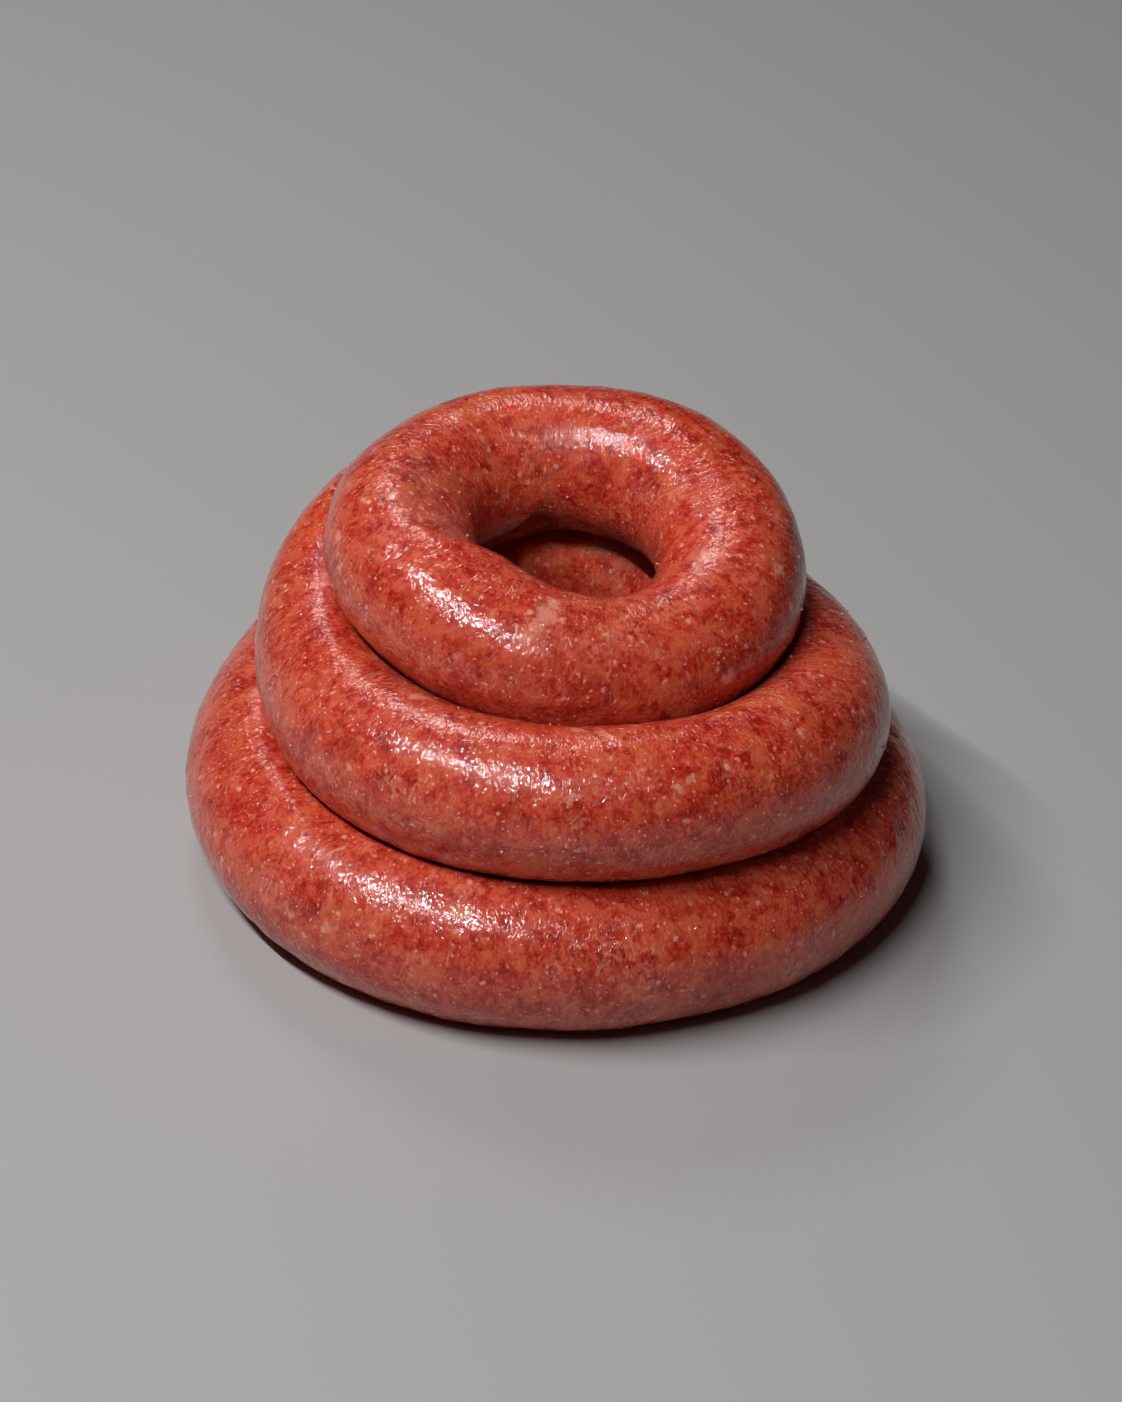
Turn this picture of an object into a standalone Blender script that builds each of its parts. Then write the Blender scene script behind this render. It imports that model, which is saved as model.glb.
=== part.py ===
"""A raw sausage in one long natural casing, coiled clockwise on itself into a stack of three turns.

The rope starts at the back with its tied end on the table, makes the wide bottom turn, climbs over its own
start at the back to the middle turn, and climbs again to the small top turn. The top turn closes on itself:
its end is pressed into the rope where that comes up from below, so the two are one piece of meat there.

Frame: +Z up, the table at Z = 0, the front of the coil towards -Y, and the whole coil centred on the Z axis.
Lengths are in metres. An angle round the coil is anticlockwise from +X, seen from above. A sweep is how far
the rope has gone, clockwise from the back of the coil, so one turn adds a full circle to it.
"""

from collections import namedtuple
from math import pi, radians

import bmesh
import bpy
import numpy as np

Turn = namedtuple(
    "Turn",
    "rope_radius ring_radius east north oval slant egg egg_slant height tip_east tip_north sag sag_slant",
)

# The turns, from the table up: the rope's radius, the ring that its centre follows and the ring's own centre.
# The oval, slant, egg and egg slant are shares of the ring's radius. The height is that of the rope's centre,
# which tips up towards the east and the north by the next two, and waves twice round by the last two.
TURNS = (
    Turn(
        rope_radius=0.0162, ring_radius=0.0624, east=-0.0010, north=0.0066,
        oval=-0.002, slant=-0.002, egg=0.017, egg_slant=0.001,
        height=0.0155, tip_east=0, tip_north=0, sag=0, sag_slant=0,
    ),
    Turn(
        rope_radius=0.0153, ring_radius=0.0536, east=-0.0019, north=0.0077,
        oval=-0.047, slant=-0.087, egg=0.037, egg_slant=-0.009,
        height=0.0444, tip_east=-0.0002, tip_north=0.0004, sag=-0.0012, sag_slant=-0.0016,
    ),
    Turn(
        rope_radius=0.0154, ring_radius=0.0339, east=-0.0025, north=0.0111,
        oval=0.018, slant=-0.009, egg=0.006, egg_slant=-0.005,
        height=0.0674, tip_east=-0.0016, tip_north=0.0059, sag=0.0008, sag_slant=0.0020,
    ),
)
TURN_GAP = 0.0003

# Each climb from one turn to the next: the sweep at its middle and half its length.
FIRST_CLIMB = (radians(333), radians(66))
SECOND_CLIMB = (radians(672), radians(61))
# The hump by which the first climb passes over the tied end: its middle and half its length as sweeps, its
# lift, and how far it goes inwards.
HUMP = (radians(356), radians(62), 0.0030, 0.0130)

# The tied end: a twist of empty casing, a dome behind it, then the full rope.
START_SWEEP = radians(14)
TWIST_LENGTH = 0.008
TWIST_RADIUS = 0.0026
TWIST_WAIST = 0.0017
DOME_LENGTH = 0.017
# The rope's last climb and the end of its top turn are pressed into one: from where they are one, how far
# the climbing rope goes into the top turn, and how much thinner it is inside it.
FUSE_SWEEP = radians(642)
MERGE_SWEEP = radians(716)
MERGE_SHARE = 0.84

# The rope is a little uneven: waves round the whole sweep, as (waves to a turn, share of the radius, phase).
SWELLS = ((2, 0.009, 0.4), (3, 0.007, 1.9), (5, 0.005, 4.0))

SIDES = 24
STATION_STEP = 0.0052
FINE_STEPS = 1600

MEAT_COLOUR = (0.50, 0.105, 0.060, 1)
MEAT_ROUGHNESS = 0.35


def plan_points(turn, angle):
    """East and north of a turn's centreline at these angles."""
    reach = turn.ring_radius * (
        1
        + turn.oval * np.cos(2 * angle)
        + turn.slant * np.sin(2 * angle)
        + turn.egg * np.cos(3 * angle)
        + turn.egg_slant * np.sin(3 * angle)
    )
    return turn.east + reach * np.cos(angle), turn.north + reach * np.sin(angle)


def turn_points(level, angle):
    """Centreline of one turn."""
    turn = TURNS[level]
    height = (
        turn.height
        + turn.tip_east * np.cos(angle)
        + turn.tip_north * np.sin(angle)
        + turn.sag * np.cos(2 * angle)
        + turn.sag_slant * np.sin(2 * angle)
    )
    return np.column_stack([*plan_points(turn, angle), height])


def climbed(sweep, climb):
    """0 before a climb and 1 after it, with a smooth rise between."""
    middle, half = climb
    share = np.clip((sweep - middle + half) / (2 * half), 0, 1)
    return share**2 * (3 - 2 * share)


def blend_turns(sweep, of_turn):
    """A quantity of the three turns, blended along the rope from each turn to the next."""
    first = climbed(sweep, FIRST_CLIMB).reshape(-1, *[1] * (np.ndim(of_turn(0)) - 1))
    second = climbed(sweep, SECOND_CLIMB).reshape(first.shape)
    return of_turn(0) * (1 - first) + of_turn(1) * first * (1 - second) + of_turn(2) * second


def rope_centres(sweep):
    """Centreline of the rope from its tied end to the top turn."""
    angle = pi / 2 - sweep
    centres = blend_turns(sweep, lambda level: turn_points(level, angle))
    middle, half, lift, shift = HUMP
    share = np.cos(pi / 2 * np.clip((sweep - middle) / half, -1, 1)) ** 2
    inward = np.column_stack([-shift * np.cos(angle), -shift * np.sin(angle), np.full(len(sweep), lift)])
    return centres + share[:, None] * inward


def even_sweeps(first, last, centres_at, closed):
    """Sweeps from first to last whose centres are evenly spaced along the rope."""
    fine = np.linspace(first, last, FINE_STEPS)
    steps = np.linalg.norm(np.diff(centres_at(fine), axis=0), axis=1)
    along = np.concatenate([[0], np.cumsum(steps)])
    count = round(along[-1] / STATION_STEP)
    wanted = np.linspace(0, along[-1], count + 1)
    return np.interp(wanted[:-1] if closed else wanted, along, fine), along[-1]


def swell(sweep):
    return 1 + sum(share * np.sin(waves * sweep + phase) for waves, share, phase in SWELLS)


def end_share(along):
    """Radius of the tied end as a share of the full rope's, at a distance from its tip."""
    full = TURNS[0].rope_radius
    twist = TWIST_WAIST + (TWIST_RADIUS - TWIST_WAIST) * np.cos(pi / 2 * along / TWIST_LENGTH) ** 2
    into_dome = np.clip((along - TWIST_LENGTH) / DOME_LENGTH, 0, 1)
    dome = np.sqrt(1 - (1 - into_dome) ** 2)
    return np.where(along < TWIST_LENGTH, twist / full, np.maximum(dome, TWIST_WAIST / full))


def frames(centres, closed):
    """Unit vectors at each station: along the rope, level to its side, and upwards across it."""
    if closed:
        along = np.roll(centres, -1, axis=0) - np.roll(centres, 1, axis=0)
    else:
        along = np.gradient(centres, axis=0)
    along /= np.linalg.norm(along, axis=1, keepdims=True)
    aside = np.cross(along, (0, 0, 1))
    aside /= np.linalg.norm(aside, axis=1, keepdims=True)
    return along, aside, np.cross(aside, along)


def skin_points(centres, radii, closed):
    """Points of the round skin: one ring of SIDES points for each station."""
    _, aside, upward = frames(centres, closed)
    turn = np.arange(SIDES) * 2 * pi / SIDES
    ring = np.cos(turn)[None, :, None] * aside[:, None] + np.sin(turn)[None, :, None] * upward[:, None]
    return centres[:, None] + radii[:, None, None] * ring


def press_flat(skin, centres, along, sweep, others, other_sweep):
    """Flattens the skin where the turn above or below presses on it, and leaves half the gap to it.

    That turn is the nearest stretch of rope that lies between half a turn and one and a half turns away.
    """
    for way in (1, -1):
        ahead = way * (other_sweep[None] - sweep[:, None])
        apart = np.linalg.norm(others[None] - centres[:, None], axis=2)
        apart[(ahead < pi) | (ahead > 3 * pi)] = np.inf
        near = np.isfinite(apart.min(axis=1))
        if not near.any():
            continue
        towards = others[apart.argmin(axis=1)[near]] - centres[near]
        towards -= (towards * along[near]).sum(axis=1, keepdims=True) * along[near]
        distance = np.linalg.norm(towards, axis=1)[:, None]
        towards /= distance
        reach = ((skin[near] - centres[near, None]) * towards[:, None]).sum(axis=2)
        over = np.maximum(reach - (distance - TURN_GAP) / 2, 0)
        skin[near] -= over[:, :, None] * towards[:, None]


def rope_mesh(name, skin, closed):
    """Extrudes a ring of edges from station to station and closes its ends."""
    mesh = bpy.data.meshes.new(name)
    bm = bmesh.new()
    first = bmesh.ops.create_circle(bm, segments=SIDES, radius=1)["verts"]
    rings = [list(first)]
    edges = list(bm.edges)
    for _ in skin[1:]:
        grown = bmesh.ops.extrude_edge_only(bm, edges=edges)["geom"]
        edges = [item for item in grown if isinstance(item, bmesh.types.BMEdge)]
        edges = [edge for edge in edges if not any(vert in rings[-1] for vert in edge.verts)]
        rings.append(follow(rings[-1], edges))
    for ring, points in zip(rings, skin):
        for vert, point in zip(ring, points):
            vert.co = point
    if closed:
        last_edges = edges + [edge for edge in bm.edges if edge.is_boundary and edge not in edges]
        bmesh.ops.bridge_loops(bm, edges=last_edges)
    else:
        bmesh.ops.holes_fill(bm, edges=[edge for edge in bm.edges if edge.is_boundary], sides=SIDES)
    bmesh.ops.triangulate(bm, faces=bm.faces, quad_method="SHORT_EDGE")
    bmesh.ops.recalc_face_normals(bm, faces=bm.faces)
    bm.to_mesh(mesh)
    bm.free()
    mesh.shade_smooth()
    return bpy.data.objects.new(name, mesh)


def follow(ring, edges):
    """The new ring's points in the order of the old ring's, found across the edges that join the two."""
    new = {vert for edge in edges for vert in edge.verts}
    return [next(e.other_vert(v) for e in v.link_edges if e.other_vert(v) in new) for v in ring]


def meat_material():
    material = bpy.data.materials.new("raw sausage")
    material.use_nodes = True
    shader = material.node_tree.nodes["Principled BSDF"]
    shader.inputs["Base Color"].default_value = MEAT_COLOUR
    shader.inputs["Roughness"].default_value = MEAT_ROUGHNESS
    shader.inputs["Metallic"].default_value = 0
    return material


def build_sausage():
    sweep, length = even_sweeps(START_SWEEP, MERGE_SWEEP, rope_centres, closed=False)
    centres = rope_centres(sweep)
    along_rope = np.concatenate([[0], np.cumsum(np.linalg.norm(np.diff(centres, axis=0), axis=1))])
    radii = blend_turns(sweep, lambda level: np.full(len(sweep), TURNS[level].rope_radius))
    radii *= swell(sweep) * end_share(along_rope)
    inside = np.clip((sweep - SECOND_CLIMB[0]) / (MERGE_SWEEP - SECOND_CLIMB[0]), 0, 1)
    radii *= 1 - (1 - MERGE_SHARE) * inside**2

    def top_centres(angles):
        return turn_points(2, pi / 2 - angles)

    top_sweep, top_length = even_sweeps(4 * pi, 6 * pi, top_centres, closed=True)
    top = top_centres(top_sweep)
    top_radii = TURNS[2].rope_radius * swell(top_sweep)

    skin = skin_points(centres, radii, closed=False)
    top_skin = skin_points(top, top_radii, closed=True)
    along = frames(centres, closed=False)[0]
    top_along = frames(top, closed=True)[0]
    apart = sweep < FUSE_SWEEP
    press_flat(skin, centres, along, sweep, centres, sweep)
    press_flat(top_skin, top, top_along, top_sweep, centres[apart], sweep[apart])
    lower = skin[apart]
    press_flat(lower, centres[apart], along[apart], sweep[apart], top, top_sweep)
    skin[apart] = lower
    skin[:, :, 2] = np.maximum(skin[:, :, 2], 0)

    rope = rope_mesh("sausage_rope", skin, closed=False)
    ring = rope_mesh("top_turn", top_skin, closed=True)
    for piece in (rope, ring):
        bpy.context.scene.collection.objects.link(piece)
    rope.data.materials.append(meat_material())
    ring.hide_render = True
    ring.display_type = "WIRE"
    union = rope.modifiers.new("top turn", "BOOLEAN")
    union.operation = "UNION"
    union.solver = "EXACT"
    union.object = ring
    print("rope length", round(length + top_length, 4))


def main():
    for old in list(bpy.data.objects):
        bpy.data.objects.remove(old)
    build_sausage()


main()
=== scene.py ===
"""Looks of a raw sausage in one long natural casing, coiled clockwise on itself into a stack of three turns.

The rope is swept again along the route of its solid, finely enough for the lumps of the mince, the wrinkles
on the inside of each bend and the pleats of its tied end. Its skin shows the mince through a wet, clear
casing: lean and fat in patches, pale flecks, dark specks, threads of gristle and streaks round the rope.

Lengths are in metres. An angle round the coil is anticlockwise from +X, seen from above. A sweep is how far
the rope has gone, clockwise from the back of the coil, so one turn adds a full circle to it. A turn of the
section is the angle round the rope itself, from its inner side upwards.
"""

from collections import namedtuple
from math import cos, pi, radians, sin

import bmesh
import bpy
import numpy as np
from bpy.props import FloatProperty, FloatVectorProperty, IntProperty, PointerProperty
from bpy.types import Operator, Panel, PropertyGroup
from mathutils import Matrix, Quaternion, Vector, noise


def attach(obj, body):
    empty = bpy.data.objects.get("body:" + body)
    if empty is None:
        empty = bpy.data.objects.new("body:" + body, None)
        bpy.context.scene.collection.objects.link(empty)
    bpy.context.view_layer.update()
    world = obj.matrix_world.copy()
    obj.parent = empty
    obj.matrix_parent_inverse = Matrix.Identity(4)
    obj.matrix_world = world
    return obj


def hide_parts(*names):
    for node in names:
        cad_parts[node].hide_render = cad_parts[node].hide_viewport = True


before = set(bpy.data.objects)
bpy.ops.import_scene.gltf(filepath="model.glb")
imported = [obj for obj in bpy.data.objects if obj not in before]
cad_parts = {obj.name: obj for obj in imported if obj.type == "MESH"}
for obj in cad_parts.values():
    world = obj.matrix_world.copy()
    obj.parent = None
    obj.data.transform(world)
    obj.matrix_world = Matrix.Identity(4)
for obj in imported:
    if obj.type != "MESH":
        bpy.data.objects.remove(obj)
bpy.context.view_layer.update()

bl_info = {
    "name": "Coiled Raw Sausage",
    "version": (1, 0, 0),
    "blender": (4, 5, 0),
    "location": "View3D > Sidebar > Sausage",
    "description": "Builds the skin, the crumbs and the stage of a coiled raw sausage",
    "category": "Object",
}

Turn = namedtuple(
    "Turn",
    "rope_radius ring_radius east north oval slant egg egg_slant height tip_east tip_north sag sag_slant",
)

# The route, as the solid has it. Each turn, from the table up: the rope's radius, the ring that its centre
# follows and the ring's own centre. The oval, slant, egg and egg slant are shares of the ring's radius. The
# height tips up to the east and the north by the next two values, and waves twice round by the last two.
TURNS = (
    Turn(
        rope_radius=0.0162, ring_radius=0.0624, east=-0.0010, north=0.0066,
        oval=-0.002, slant=-0.002, egg=0.017, egg_slant=0.001,
        height=0.0155, tip_east=0, tip_north=0, sag=0, sag_slant=0,
    ),
    Turn(
        rope_radius=0.0153, ring_radius=0.0536, east=-0.0019, north=0.0077,
        oval=-0.047, slant=-0.087, egg=0.037, egg_slant=-0.009,
        height=0.0444, tip_east=-0.0002, tip_north=0.0004, sag=-0.0012, sag_slant=-0.0016,
    ),
    Turn(
        rope_radius=0.0154, ring_radius=0.0339, east=-0.0025, north=0.0111,
        oval=0.018, slant=-0.009, egg=0.006, egg_slant=-0.005,
        height=0.0674, tip_east=-0.0016, tip_north=0.0059, sag=0.0008, sag_slant=0.0020,
    ),
)
# The gap between two turns where they press on each other, and how much thicker the skin is than the solid.
TURN_GAP = 0.0002
SKIN_SWELL = 0.00016
# The climbs from turn to turn: the sweep at the middle of each, and half of its length.
FIRST_CLIMB = (radians(333), radians(66))
SECOND_CLIMB = (radians(672), radians(61))
# Where the rope lies further in at the back: the middle, half the length, the lift and the shift inwards.
HUMP = (radians(356), radians(62), 0.0030, 0.0130)
# The tied end: a short twist of empty casing with a round tip, and the dome behind it.
START_SWEEP = radians(14)
TWIST_LENGTH = 0.008
TWIST_RADIUS = 0.0026
TWIST_WAIST = 0.0017
TIP_LENGTH = 0.0012
DOME_LENGTH = 0.017
# The rope runs into the top turn from the first of these and ends inside it at the second, thin and blunt.
FUSE_SWEEP = radians(642)
MERGE_SWEEP = radians(731)
MERGE_SHARE = 0.80
BLUNT_LENGTH = 0.01
# Slow swells of the rope: how many in a turn, their share of the radius, and their phase.
SWELLS = ((2, 0.009, 0.4), (3, 0.007, 1.9), (5, 0.005, 4.0))
FINE_STEPS = 6000


class RopeForm(PropertyGroup):
    """Fineness and relief of the rope's skin."""

    spacing: FloatProperty(
        name="Point spacing", description="Distance between the skin's points",
        default=0.00105, min=0.0008, unit="LENGTH",
    )
    lump_height: FloatProperty(
        name="Lumps", description="Height of the wide lumps of the filling",
        default=0.00034, unit="LENGTH",
    )
    mince_height: FloatProperty(
        name="Mince", description="Height of the grain of the mince under the casing",
        default=0.00016, unit="LENGTH",
    )
    wrinkle_depth: FloatProperty(
        name="Wrinkles", description="Depth of the wrinkles on the inside of the bends",
        default=0.00022, unit="LENGTH",
    )
    pleats: IntProperty(
        name="Pleats", description="Pleats of casing gathered into the tied end",
        default=7, min=3,
    )
    crumbs: IntProperty(
        name="Crumbs", description="Tiny bits of meat and fat that stick to the casing",
        default=150, min=0,
    )


class MeatLook(PropertyGroup):
    """Colours of the mince and of the casing over it."""

    lean: FloatVectorProperty(
        name="Lean", description="Colour of the lean mince", subtype="COLOR",
        default=(0.55, 0.036, 0.016),
    )
    # Also the colour of the streak of painted shade on the inner wall at the back of the top turn.
    deep: FloatVectorProperty(
        name="Deep lean", description="Colour of the darkest lean", subtype="COLOR",
        default=(0.33, 0.011, 0.006),
    )
    rosy: FloatVectorProperty(
        name="Rosy", description="Colour of lean blended with fat", subtype="COLOR",
        default=(0.66, 0.093, 0.047),
    )
    tallow: FloatVectorProperty(
        name="Fat", description="Colour of the patches of fat", subtype="COLOR",
        default=(0.70, 0.130, 0.045),
    )
    fleck: FloatVectorProperty(
        name="Flecks", description="Colour of the pale flecks", subtype="COLOR",
        default=(0.86, 0.36, 0.25),
    )
    clot: FloatVectorProperty(
        name="Specks", description="Colour of the dark specks", subtype="COLOR",
        default=(0.10, 0.006, 0.004),
    )
    casing: FloatVectorProperty(
        name="Bare casing", description="Colour of the empty casing at the tied end", subtype="COLOR",
        default=(0.78, 0.46, 0.34),
    )


class StageLook(PropertyGroup):
    """Floor, light and camera."""

    floor: FloatVectorProperty(
        name="Floor", description="Colour of the floor", subtype="COLOR", default=(0.42, 0.415, 0.41),
    )
    key_power: FloatProperty(
        name="Key light", description="Power of the long light at the front left",
        default=13.8, unit="POWER",
    )
    sky: FloatProperty(
        name="Sky", description="Strength of the even light from all round", default=0.01, min=0,
    )
    elevation: FloatProperty(
        name="Camera height", description="Angle of the camera above the table",
        default=radians(31.85), subtype="ANGLE",
    )
    distance: FloatProperty(
        name="Camera distance", description="Distance from the camera to its aim in the coil",
        default=0.914, unit="LENGTH",
    )
    lens: FloatProperty(
        name="Lens", description="Focal length of the camera in millimetres", default=111.75,
    )
    roll: FloatProperty(
        name="Roll", description="Turn of the camera about its line of sight",
        default=radians(5.0), subtype="ANGLE",
    )


# The route.


def turn_points(level, angle):
    """Centreline of one turn."""
    turn = TURNS[level]
    reach = turn.ring_radius * (
        1
        + turn.oval * np.cos(2 * angle)
        + turn.slant * np.sin(2 * angle)
        + turn.egg * np.cos(3 * angle)
        + turn.egg_slant * np.sin(3 * angle)
    )
    height = (
        turn.height
        + turn.tip_east * np.cos(angle)
        + turn.tip_north * np.sin(angle)
        + turn.sag * np.cos(2 * angle)
        + turn.sag_slant * np.sin(2 * angle)
    )
    east = turn.east + reach * np.cos(angle)
    north = turn.north + reach * np.sin(angle)
    return np.column_stack([east, north, height])


def climbed(sweep, climb):
    """0 before a climb and 1 after it, with a smooth rise between."""
    middle, half = climb
    return smooth_rise(sweep, middle - half, middle + half)


def smooth_rise(value, low, high):
    share = np.clip((value - low) / (high - low), 0, 1)
    return share**2 * (3 - 2 * share)


def blend_turns(sweep, of_turn):
    """A quantity of the three turns, blended along the rope from each turn to the next."""
    first = climbed(sweep, FIRST_CLIMB).reshape(-1, *[1] * (np.ndim(of_turn(0)) - 1))
    second = climbed(sweep, SECOND_CLIMB).reshape(first.shape)
    return of_turn(0) * (1 - first) + of_turn(1) * first * (1 - second) + of_turn(2) * second


def rope_centres(sweep):
    """Centreline of the rope from its tied end to the top turn."""
    angle = pi / 2 - sweep
    centres = blend_turns(sweep, lambda level: turn_points(level, angle))
    middle, half, lift, shift = HUMP
    share = np.cos(pi / 2 * np.clip((sweep - middle) / half, -1, 1)) ** 2
    inward = np.column_stack([-shift * np.cos(angle), -shift * np.sin(angle), np.full(len(sweep), lift)])
    return centres + share[:, None] * inward


def top_centres(sweep):
    return turn_points(2, pi / 2 - sweep)


def even_sweeps(first, last, centres_at, spacing):
    """Sweeps from first to last whose centres are evenly spaced along the rope."""
    fine = np.linspace(first, last, FINE_STEPS)
    steps = np.linalg.norm(np.diff(centres_at(fine), axis=0), axis=1)
    along = np.concatenate([[0], np.cumsum(steps)])
    wanted = np.linspace(0, along[-1], round(along[-1] / spacing) + 1)
    return np.interp(wanted, along, fine), wanted


def swell(sweep):
    """Thickness of the rope as a share of its even thickness."""
    waved = sum(share * np.sin(waves * sweep + phase) for waves, share, phase in SWELLS)
    return 1 + SKIN_SWELL / TURNS[0].rope_radius + waved


def end_share(along):
    """Radius of the tied end as a share of the full rope's, at a distance from its tip."""
    full = TURNS[0].rope_radius
    twist = TWIST_WAIST + (TWIST_RADIUS - TWIST_WAIST) * np.cos(pi / 2 * along / TWIST_LENGTH) ** 2
    twist *= np.sqrt(1 - (1 - np.clip(along / TIP_LENGTH, 0, 1)) ** 2)
    into_dome = np.clip((along - TWIST_LENGTH) / DOME_LENGTH, 0, 1)
    dome = np.sqrt(1 - (1 - into_dome) ** 2)
    return np.where(along < TWIST_LENGTH, twist / full, np.maximum(dome, TWIST_WAIST / full))


def frames(centres, closed):
    """Unit vectors at each station: along the rope, level to its inner side, and upwards across it."""
    along = np.gradient(centres, axis=0)
    if closed:
        along[0] = along[-1] = centres[1] - centres[-2]
    along /= np.linalg.norm(along, axis=1, keepdims=True)
    aside = np.cross(along, (0, 0, 1))
    aside /= np.linalg.norm(aside, axis=1, keepdims=True)
    return along, aside, np.cross(aside, along)


# The skin's relief.

LUMP_WIDTH = 0.016
MINCE_WIDTH = 0.0046
GRAIN_WIDTH = 0.0024
GRAIN_SHARE = 0.55
DIMPLE_WIDTH = 0.0085
DIMPLE_DEPTH = 0.00035
DIMPLE_LEVEL = 0.42
# Wrinkles run across the inside of a bend, in patches. They start and are full this far in from the centre.
WRINKLE_WIDTH = 0.0030
WRINKLE_REACH = 0.016
WRINKLE_START = 0.004
WRINKLE_FULL = 0.014
RIDGE_LEVEL = 0.6
PATCH_WIDTH = 0.012
PATCH_LOW = -0.25
PATCH_HIGH = 0.45
# The wide bottom turn is stretched least, so its wrinkles have this share of the top turn's depth.
BOTTOM_TIGHTNESS = 0.35
PLEAT_DEPTH = 0.16
PLEAT_TWIST = 2.2
FINE_PLEATS = 4
FINE_PLEAT_SHARE = 0.4
# Where the rope and the top turn are both this near, the crease between them is smoothed.
JOIN_REACH = 0.0035
JOIN_PASSES = 34
# The skin is thickened at the end by this much, so no light comes through between the turns.
PRESS = 0.00018
# The fold in the top turn: where it crosses the rope, how it slants, and how far it goes round the section.
# Then its own width, how far its near side bulges and its far side fades along the rope, and their heights.
TUCK_SWEEP = radians(941)
TUCK_TURN = radians(62)
TUCK_SLANT = 0.5
TUCK_REACH = radians(85)
TUCK_WIDTH = radians(3.5)
TUCK_LEAD = radians(32)
TUCK_FADE = radians(85)
TUCK_DEPTH = 0.0022
TUCK_BULGE = 0.0007


def noise_at(points, width, seed):
    """Perlin noise from -1 to 1 with bumps this wide, at each point."""
    scaled = points.reshape(-1, 3) / width + seed
    values = np.fromiter((noise.noise(point) for point in scaled.tolist()), float, len(scaled))
    return values.reshape(points.shape[:-1])


def relief(form, skin, centres, across, tightness):
    """Height of the skin over its smooth round form, at each point. Across is its place in the section."""
    lumps = form.lump_height * noise_at(skin, LUMP_WIDTH, seed=3.1)
    mince = form.mince_height * noise_at(skin, MINCE_WIDTH, seed=8.7)
    grain = GRAIN_SHARE * form.mince_height * noise_at(skin, GRAIN_WIDTH, seed=5.2)
    dimples = DIMPLE_DEPTH * np.minimum(noise_at(skin, DIMPLE_WIDTH, seed=12.4) + DIMPLE_LEVEL, 0)
    plan = np.broadcast_to(centres[:, None, :2] / WRINKLE_WIDTH, (*skin.shape[:2], 2))
    ridges = 1 - 2 * np.abs(noise_at(np.dstack([plan, across[..., 1] / WRINKLE_REACH]), 1, seed=1.9))
    inner = smooth_rise(across[..., 0], WRINKLE_START, WRINKLE_FULL)
    patchy = smooth_rise(noise_at(skin, PATCH_WIDTH, seed=21.3), PATCH_LOW, PATCH_HIGH)
    wrinkles = form.wrinkle_depth * tightness * inner * patchy * (ridges - RIDGE_LEVEL)
    return lumps + mince + grain + dimples + wrinkles


def pleated(form, along_rope, turn):
    """Depth of the pleats that gather the casing into the tied end, as a share of the radius."""
    near_tip = np.clip(1 - along_rope / (TWIST_LENGTH + DOME_LENGTH), 0, 1)
    twist = PLEAT_TWIST * near_tip * pi
    wide = np.cos(form.pleats * turn + twist)
    fine = np.cos((form.pleats + FINE_PLEATS) * turn - twist)
    return PLEAT_DEPTH * near_tip**2 * (wide + FINE_PLEAT_SHARE * fine)


def tucked(sweep, turn):
    """Height of the fold at the front left of the top turn, whose far side tucks in under its near side."""
    fold = TUCK_SWEEP + TUCK_SLANT * (turn - TUCK_TURN)
    past = sweep - fold
    inner = np.cos(np.clip((turn - TUCK_TURN / 2) / TUCK_REACH, -1, 1) * pi / 2) ** 2
    far = smooth_rise(past, 0, TUCK_WIDTH) * (1 - smooth_rise(past, TUCK_WIDTH, TUCK_FADE))
    near = smooth_rise(past, -TUCK_LEAD, 0) * (1 - smooth_rise(past, 0, TUCK_WIDTH))
    return inner * (TUCK_BULGE * near - TUCK_DEPTH * far)


def skin_of(form, sweep, along_rope, centres, radii, sides, closed, tightness):
    """Points of the skin: a ring of them for each station, with the first one again at its end."""
    _, aside, upward = frames(centres, closed)
    turn = np.arange(sides + 1) * 2 * pi / sides
    level, lift = np.cos(turn)[None, :, None], np.sin(turn)[None, :, None]
    outward = level * aside[:, None] + lift * upward[:, None]
    skin = centres[:, None] + radii[:, None, None] * outward
    across = radii[:, None, None] * np.stack([np.cos(turn), np.sin(turn)], axis=1)[None]
    rise = relief(form, skin, centres, across, tightness)
    if closed:
        rise = rise + tucked(sweep[:, None], (turn[None, :] + pi / 2) % (2 * pi) - pi / 2)
    else:
        whole = np.clip(radii[:, None] / TURNS[0].rope_radius, 0, 1)
        rise = rise * whole + radii[:, None] * pleated(form, along_rope[:, None], turn[None, :])
    skin = skin + rise[:, :, None] * outward
    skin[:, -1] = skin[:, 0]
    if closed:
        skin[-1] = skin[0]
    return skin


def press_flat(skin, centres, along, sweep, others, other_sweep):
    """Flattens the skin where the turn above or below presses on it, and leaves half the gap to it.

    That turn is the nearest stretch of rope that lies between half a turn and one and a half turns away.
    """
    for way in (1, -1):
        ahead = way * (other_sweep[None] - sweep[:, None])
        apart = np.linalg.norm(others[None] - centres[:, None], axis=2)
        apart[(ahead < pi) | (ahead > 3 * pi)] = np.inf
        near = np.isfinite(apart.min(axis=1))
        if not near.any():
            continue
        towards = others[apart.argmin(axis=1)[near]] - centres[near]
        towards -= (towards * along[near]).sum(axis=1, keepdims=True) * along[near]
        distance = np.linalg.norm(towards, axis=1)[:, None]
        towards /= distance
        reach = ((skin[near] - centres[near, None]) * towards[:, None]).sum(axis=2)
        over = np.maximum(reach - (distance - TURN_GAP) / 2, 0)
        skin[near] -= over[:, :, None] * towards[:, None]


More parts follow.
